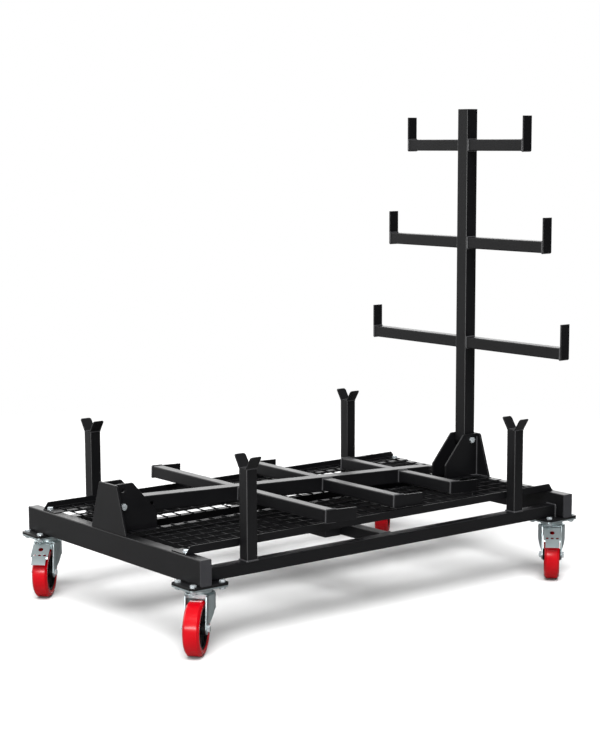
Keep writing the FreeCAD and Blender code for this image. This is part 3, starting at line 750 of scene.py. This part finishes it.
def makeRibTree():
    tree, size = startTree("wheelRibs", {"Material": "Material", "Count": "Int", "Inner": "Float",
                                         "Outer": "Float", "Thickness": "Float", "Half Height": "Float"})
    flow = Flow(tree)
    middle = (size["Inner"] + size["Outer"]) * 0.5
    ring = flow.add("GeometryNodeMeshCircle", {}, {"Vertices": size["Count"], "Radius": middle})
    extent = flow.add("ShaderNodeCombineXYZ", {}, {
        "X": size["Outer"] - size["Inner"], "Y": size["Thickness"], "Z": size["Half Height"] * 2.0})
    rib = flow.add("GeometryNodeMeshCube", {}, {"Size": extent})
    outwards = flow.add("FunctionNodeAlignRotationToVector", {"axis": "X"},
                        {"Vector": flow.add("GeometryNodeInputPosition")})
    ribs = flow.add("GeometryNodeInstanceOnPoints", {}, {"Points": ring, "Instance": rib,
                                                         "Rotation": outwards})
    return closeTree(tree, ribs)


ribTree = makeRibTree()
for name in casters:
    roll = joints["wheel_" + name + "_roll"]
    centre = Vector(roll["pos_m"])
    along = Vector(roll["axis"]).normalized()
    rolling = up.cross(along)
    place = Matrix.Translation(centre) @ Matrix((rolling, up, along)).transposed().to_4x4()
    body = "wheel_" + name
    radius = centre.z
    rim = radius - tyre["depth"]
    ring = lathed("tyreRing_" + name, tyreLoop(radius), tyre["turns"], place)
    showMesh("tyreRing_" + name, ring, red, body, ["tyre_" + name])
    hub = lathed("wheelHub_" + name, centreLoop(radius), tyre["turns"], place)
    showMesh("wheelHub_" + name, hub, nylon, body, ["wheel_centre_" + name])
    ribs = grown("wheelRibs_" + name, ribTree, {
        "Material": nylon, "Count": wheelCentre["ribCount"],
        "Inner": wheelCentre["bossRadius"] - wheelCentre["ribSink"],
        "Outer": rim - wheelCentre["rimDepth"] + wheelCentre["ribSink"],
        "Thickness": wheelCentre["ribThickness"],
        "Half Height": wheelCentre["webHalf"] + wheelCentre["ribRise"]})
    ribs.transform(place)
    softEdge = ("BEVEL", {"width": wheelCentre["ribEdge"], "segments": 2, "limit_method": "ANGLE"})
    ribs = applied("wheelRibs_" + name, ribs, softEdge)
    showMesh("wheelRibs_" + name, smoothByAngle(ribs), nylon, body)
print("wheels turned")


# Welds: rippled beads along the seams
weld = {
    "radius": 0.0030,
    "step": 0.0011,             # metres between rings of a bead
    "ripple": 0.45,             # share of the radius
    "ripplePoints": 5.3,        # rings in a ripple
    "wander": 0.35,
    "wanderSize": 0.006,
    "sides": 8,
    "plateStop": 0.012,         # bracket seams end this far below the end plate's top
    "cheekGap": 0.004,          # and the end plate's own start this far from a cheek
    "plateStopSide": 0.006,
    "spineStop": 0.004,
    "cradleInset": 0.0075,      # cradle plate's inner face from the post's side
    "cradleStop": 0.002,
    "cradleShare": 0.75,        # thinner beads on the cradles
}


def makeWeldTree():
    tree, size = startTree("weldBeads", {"Material": "Material", "Radius": "Float", "Step": "Float",
                                         "Ripple": "Float", "Ripple Points": "Float", "Wander": "Float",
                                         "Wander Size": "Float", "Sides": "Int"})
    flow = Flow(tree)
    seams = flow.add("GeometryNodeMeshToCurve", {}, {"Mesh": size["Geometry"]})
    rings = flow.add("GeometryNodeResampleCurve", {"mode": "LENGTH"}, {"Curve": seams,
                                                                       "Length": size["Step"]})
    phase = flow.add("GeometryNodeInputIndex") * flow.calc("DIVIDE", 2 * math.pi, size["Ripple Points"])
    wave = flow.calc("SINE", phase, 0.0) * size["Ripple"]
    drift = flow.add("ShaderNodeTexNoise", {}, {"Vector": flow.add("GeometryNodeInputPosition"),
                                                "Scale": flow.calc("DIVIDE", 1.0, size["Wander Size"])})
    thickness = 1.0 + wave + swing(drift, size["Wander"])
    swelled = flow.add("GeometryNodeSetCurveRadius", {}, {"Curve": rings, "Radius": thickness})
    ring = flow.add("GeometryNodeCurvePrimitiveCircle", {}, {"Resolution": size["Sides"],
                                                             "Radius": size["Radius"]})
    bead = flow.add("GeometryNodeCurveToMesh", {}, {"Curve": swelled, "Profile Curve": ring,
                                                    "Fill Caps": True})
    return closeTree(tree, bead)


weldTree = makeWeldTree()


def layWelds(name, seams, body, radius):
    vertices = []
    edges = []
    for seam in seams:
        first = len(vertices)
        vertices += seam
        edges += [(first + k, first + k + 1) for k in range(len(seam) - 1)]
    mesh = grown(name, weldTree, {
        "Material": weldCoatPaintedHighlight, "Radius": radius, "Step": weld["step"], "Ripple": weld["ripple"],
        "Ripple Points": weld["ripplePoints"], "Wander": weld["wander"], "Wander Size": weld["wanderSize"],
        "Sides": weld["sides"]}, vertices, edges)
    showMesh(name, mesh, weldCoatPaintedHighlight, body)


def squareSeam(centre, first, second):
    # closed seam round a section, from two half sides
    return [centre + first + second, centre - first + second, centre - first - second,
            centre + first - second, centre + first + second]


frameSeams = []
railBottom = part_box("end_rail_left")[0].z
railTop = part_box("end_rail_left")[1].z
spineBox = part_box("centre_spine")
spineSeamTop = spineBox[1].z - weld["spineStop"]
for end, sx in (("left", -1), ("right", 1)):
    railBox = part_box("end_rail_" + end)
    innerX = sx * min(abs(railBox[0].x), abs(railBox[1].x))
    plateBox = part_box("bracket_end_plate_" + end)
    plateX = sx * min(abs(plateBox[0].x), abs(plateBox[1].x))
    plateTop = plateBox[1].z
    plateHalf = plateBox[1].y
    for sy in (-1, 1):
        y = sy * cheekOuter
        frameSeams.append([Vector((plateX, y, plateTop - weld["plateStop"])), Vector((plateX, y, railTop)),
                           Vector((innerX, y, railTop))])
        frameSeams.append([Vector((plateX, y + sy * weld["cheekGap"], railTop)),
                           Vector((plateX, sy * (plateHalf - weld["plateStopSide"]), railTop))])
        spineY = sy * spineBox[1].y
        frameSeams.append([Vector((innerX, spineY, railBottom)), Vector((innerX, spineY, spineSeamTop))])
for side in ("near", "far"):
    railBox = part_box("side_rail_" + side)
    middle = (railBox[0] + railBox[1]) / 2
    halfY = Vector((0, (railBox[1].y - railBox[0].y) / 2, 0))
    halfZ = Vector((0, 0, (railBox[1].z - railBox[0].z) / 2))
    for x in (railBox[0].x, railBox[1].x):
        frameSeams.append(squareSeam(Vector((x, middle.y, middle.z)), halfY, halfZ))
    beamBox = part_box("cross_beams")
    beamHalf = Vector((beamBox[1].x, 0, 0))
    sign = 1 if middle.y > 0 else -1
    for y in (sign * beamBox[1].y, sign * spineBox[1].y):
        frameSeams.append(squareSeam(Vector((0, y, middle.z)), beamHalf, halfZ))
    for end in ("left", "right"):
        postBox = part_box("post_%s_%s" % (end, side))
        foot = Vector(((postBox[0].x + postBox[1].x) / 2, (postBox[0].y + postBox[1].y) / 2, postBox[0].z))
        halfX = Vector(((postBox[1].x - postBox[0].x) / 2, 0, 0))
        frameSeams.append(squareSeam(foot, halfX, Vector((0, (postBox[1].y - postBox[0].y) / 2, 0))))
layWelds("frameWelds", frameSeams, "frame", weld["radius"])

cradleSeams = []
for end in ("left", "right"):
    for side in ("near", "far"):
        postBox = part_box("post_%s_%s" % (end, side))
        inset = weld["cradleInset"]
        for y in (postBox[0].y + inset, postBox[1].y - inset, postBox[0].y, postBox[1].y):
            cradleSeams.append([Vector((postBox[0].x + weld["cradleStop"], y, postBox[1].z)),
                                Vector((postBox[1].x - weld["cradleStop"], y, postBox[1].z))])
layWelds("cradleWelds", cradleSeams, "frame", weld["radius"] * weld["cradleShare"])

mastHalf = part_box("right_mast_cap")[1].y
for end in ("left", "right"):
    fold = joints[end + "_mast_fold"]
    leaned = 0 if end == "right" else math.radians(fold["range_deg"][1])
    stand = Matrix.Rotation(-leaned, 3, Vector(fold["axis"]))
    seams = []
    for level in ("lower", "middle", "upper"):
        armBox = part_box("%s_arms_%s" % (end, level))
        middle = (armBox[0] + armBox[1]) / 2
        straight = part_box("right_arms_" + level)
        half = (straight[1].z - straight[0].z) / 2
        for sy in (-1, 1):
            for y in (mastHalf, straight[1].y):
                spot = Vector((middle.x, sy * y, middle.z))
                seams.append(squareSeam(spot, stand @ Vector((half, 0, 0)), stand @ Vector((0, 0, half))))
    layWelds(end + "MastWelds", seams, end + "_mast_body", weld["radius"])
print("welds laid")


# Stage: plain pale floor, soft studio light
studio = {
    "floorSize": 30.0,
    "floorColour": (0.46, 0.46, 0.46, 1),
    "floorMirrored": (0.11, 0.11, 0.11, 1),     # how the floor shows in polished metal and paint
    "floorFade": (2.6, 4.2),    # metres from the middle, where the floor runs out into the backdrop
    "backdrop": 1.0,            # what the camera sees past the floor
    "base": 0.06,               # light from the dark side of the studio
    "leftGlow": 0.54,
    "leftSpan": (0.15, 0.6),
    "overGlow": 0.40,           # ceiling, seen in polished metal
    "overSpan": (0.3, 0.8),
    "farGlow": 2.6,             # bright wall behind the cart
    "farFrom": (0.35, 0.93, 0.10),
    "farSpan": (0.4, 0.95),
    "farBelow": 0.3,            # share of it below the horizon
    "horizon": (-0.1, 0.12),    # heights between which that share eases in
}
overheadSun = {"power": 7.5, "angle": 40, "lean": (-0.40, -0.53)}      # angle in degrees
softboxes = {
    "leftStrip": {"at": (-4.0, -3.2, 1.3), "aim": (-0.6, -0.4, 0.15), "size": (2.6, 0.3), "power": 150,
                  "edgesOnly": False},
    # runs a thin light line down the rounded corners of the standing mast and the posts
    "edgeStrip": {"at": (-4.3, -3.3, 0.75), "aim": (0.75, 0.0, 0.75), "size": (0.8, 1.0), "power": 270,
                  "edgesOnly": True},
}


def layFloor():
    shape = bmesh.new()
    bmesh.ops.create_grid(shape, x_segments=1, y_segments=1, size=studio["floorSize"] / 2)
    mesh = bpy.data.meshes.new("studioFloor")
    shape.to_mesh(mesh)
    shape.free()
    material, flow = newMaterial("paleFloor")
    place = flow.add("ShaderNodeTexCoord", out="Object")
    distance = flow.add("ShaderNodeVectorMath", {"operation": "LENGTH"}, {0: place}, out="Value")
    fade = flow.add("ShaderNodeMapRange", {"interpolation_type": "SMOOTHSTEP"}, {
        "Value": distance, "From Min": studio["floorFade"][0], "From Max": studio["floorFade"][1]})
    glossy = flow.add("ShaderNodeLightPath", out="Is Glossy Ray")
    colour = blended(flow, glossy, studio["floorColour"], studio["floorMirrored"])
    pale = flow.add("ShaderNodeBsdfDiffuse", {}, {"Color": colour})
    clear = flow.add("ShaderNodeBsdfTransparent")
    shader = flow.add("ShaderNodeMixShader", {}, {0: fade, 1: pale, 2: clear})
    flow.add("ShaderNodeOutputMaterial", {}, {"Surface": shader})
    mesh.materials.append(material)
    floor = bpy.data.objects.new("studioFloor", mesh)
    bpy.context.scene.collection.objects.link(floor)


def eased(flow, value, span, share):
    return flow.add("ShaderNodeMapRange", {"interpolation_type": "SMOOTHSTEP"}, {
        "Value": value, "From Min": span[0], "From Max": span[1], "To Min": 0.0, "To Max": share})


def lightWorld():
    world = bpy.data.worlds.new("studioWorld")
    world.use_nodes = True
    world.node_tree.nodes.clear()
    flow = Flow(world.node_tree)
    direction = flow.add("ShaderNodeTexCoord", out="Generated")
    sideways = flow.add("ShaderNodeSeparateXYZ", {}, {0: direction}, out="X")
    height = flow.add("ShaderNodeSeparateXYZ", {}, {0: direction}, out="Z")
    towards = flow.add("ShaderNodeVectorMath", {"operation": "DOT_PRODUCT"},
                       {0: direction, 1: Vector(studio["farFrom"]).normalized()}, out="Value")
    left = eased(flow, 0.0 - sideways, studio["leftSpan"], studio["leftGlow"])
    above = studio["farBelow"] + eased(flow, height, studio["horizon"], 1 - studio["farBelow"])
    ceiling = eased(flow, height, studio["overSpan"], studio["overGlow"])
    far = eased(flow, towards, studio["farSpan"], studio["farGlow"]) * above
    glow = studio["base"] + left + ceiling + far
    seen = flow.add("ShaderNodeLightPath", out="Is Camera Ray")
    strength = glow + seen * (studio["backdrop"] - glow)
    background = flow.add("ShaderNodeBackground", {}, {"Color": (1, 1, 1, 1), "Strength": strength})
    flow.add("ShaderNodeOutputWorld", {}, {"Surface": background})
    bpy.context.scene.world = world


def hangLight(name, kind, at, aim, power):
    lamp = bpy.data.lights.new(name, kind)
    lamp.energy = power
    holder = bpy.data.objects.new(name, lamp)
    holder.location = at
    holder.rotation_euler = (Vector(aim) - Vector(at)).to_track_quat("-Z", "Y").to_euler()
    bpy.context.scene.collection.objects.link(holder)
    return lamp, holder


layFloor()
lightWorld()
sunPlace = (*overheadSun["lean"], 1.0)
sun, sunHolder = hangLight("overheadSun", "SUN", sunPlace, (0, 0, 0), overheadSun["power"])
sun.angle = math.radians(overheadSun["angle"])
sunHolder.visible_glossy = False
for name, box in softboxes.items():
    lamp, holder = hangLight(name, "AREA", box["at"], box["aim"], box["power"])
    lamp.shape = "RECTANGLE"
    lamp.size, lamp.size_y = box["size"]
    if box["edgesOnly"]:
        holder.visible_diffuse = False
        holder.light_linking.receiver_collection = edgeLitPieces
bpy.context.scene.view_settings.view_transform = "Standard"
print("studio lit")


# Camera, at the photograph's place
view = {
    "eye": (-3.660, -4.6214, 1.4992),
    "heading": 37.61,           # degrees from +Y towards +X
    "dip": 8.38,                # degrees below the horizon
    "roll": -0.32,              # degrees
    "focal": 1771.85,           # this and the next three in pixels
    "imageHeight": 745,
    "imageWidth": 600,
    "axisAt": (280, 400),       # where the lens axis meets the image
    "sensor": 36.0,             # millimetres
}


def setCamera():
    lens = bpy.data.cameras.new("photoCamera")
    lens.sensor_width = view["sensor"]
    lens.lens = view["focal"] * view["sensor"] / view["imageHeight"]
    lens.shift_x = (view["imageWidth"] / 2 - view["axisAt"][0]) / view["imageHeight"]
    lens.shift_y = (view["axisAt"][1] - view["imageHeight"] / 2) / view["imageHeight"]
    camera = bpy.data.objects.new("photoCamera", lens)
    level = Euler((math.radians(90 - view["dip"]), 0, -math.radians(view["heading"])), "XYZ").to_matrix()
    tilt = Matrix.Rotation(math.radians(view["roll"]), 3, "Z")
    camera.matrix_world = Matrix.Translation(Vector(view["eye"])) @ (level @ tilt).to_4x4()
    bpy.context.scene.collection.objects.link(camera)
    bpy.context.scene.camera = camera


setCamera()
print("camera set")
